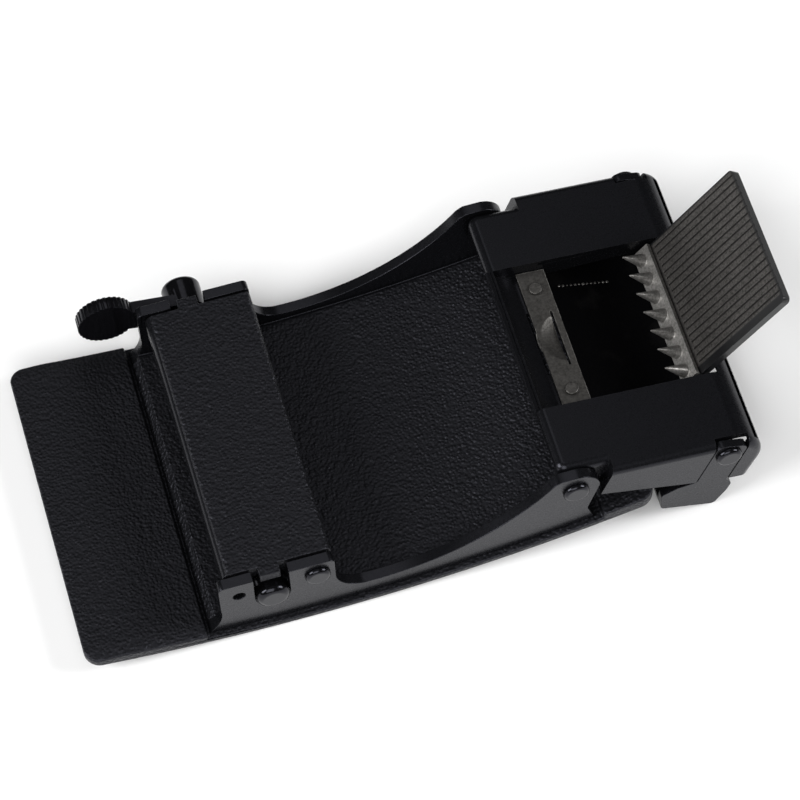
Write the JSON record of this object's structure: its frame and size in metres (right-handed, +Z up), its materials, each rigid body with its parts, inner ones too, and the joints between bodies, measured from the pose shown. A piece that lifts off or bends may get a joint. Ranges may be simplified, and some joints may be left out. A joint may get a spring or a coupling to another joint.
{
  "type": "belt buckle",
  "caption": "Ratchet belt buckle from behind: curved face plate, folded bracket with sprung pawl and side release lever, and a pivoting clamp box with a toothed flap.",
  "frame": {"origin": "bottom centre of the whole buckle as it lies on its face plate, flap open", "axes": "+X along the strap towards the clamp end, +Y across the strap towards the release lever, +Z up out of the back of the buckle"},
  "size_m": [0.0862, 0.0434, 0.0244],
  "materials": {
    "satin_black": "smooth satin black plating",
    "grained_black": "fine leather-like matte grain",
    "gloss_black": "polished black domed heads",
    "flap_steel": "bare grooved inner face with black painted edge and back",
    "bare_steel": "bare stamped steel, fine grain",
    "spring_wire": "drawn spring wire"
  },
  "bodies": {
    "frame": {"face_plate": "grained_black", "frame_bracket": "satin_black", "spring_rivet": "gloss_black", "pawl_spring_near": "spring_wire", "pawl_spring_far": "spring_wire", "box_rivet_near": "gloss_black", "box_rivet_far": "gloss_black"},
    "pawl": {"pawl_bar": "grained_black", "pawl_shaft": "gloss_black", "pawl_tooth": "bare_steel", "release_lever": "satin_black"},
    "clamp": {"clamp_box": "satin_black", "box_floor": "grained_black", "latch_strip": "bare_steel", "latch_rivet_near": "bare_steel", "latch_rivet_far": "bare_steel", "flap_pin": "gloss_black", "keeper_loop": "satin_black"},
    "flap": {"clamp_flap": "flap_steel", "tooth_comb": "bare_steel"}
  },
  "joints": [
    {"name": "lever_pivot", "type": "hinge", "parent": "frame", "child": "pawl", "pos_m": [-0.02089, -0.00175, 0.00685], "axis": [0, -1, 0], "range_deg": [0, 8], "stiffness_Nm_per_rad": 0.05, "springref_deg": -28.65, "deforming": ["pawl_spring_near", "pawl_spring_far"]},
    {"name": "clamp_swing", "type": "hinge", "parent": "frame", "child": "clamp", "pos_m": [0.01486, -0.00175, 0.0121], "axis": [0, -1, 0], "range_deg": [-2, 40]},
    {"name": "flap_hinge", "type": "hinge", "parent": "clamp", "child": "flap", "pos_m": [0.03306, -0.00175, 0.011], "axis": [0, -1, 0], "range_deg": [0, 114]}
  ]
}
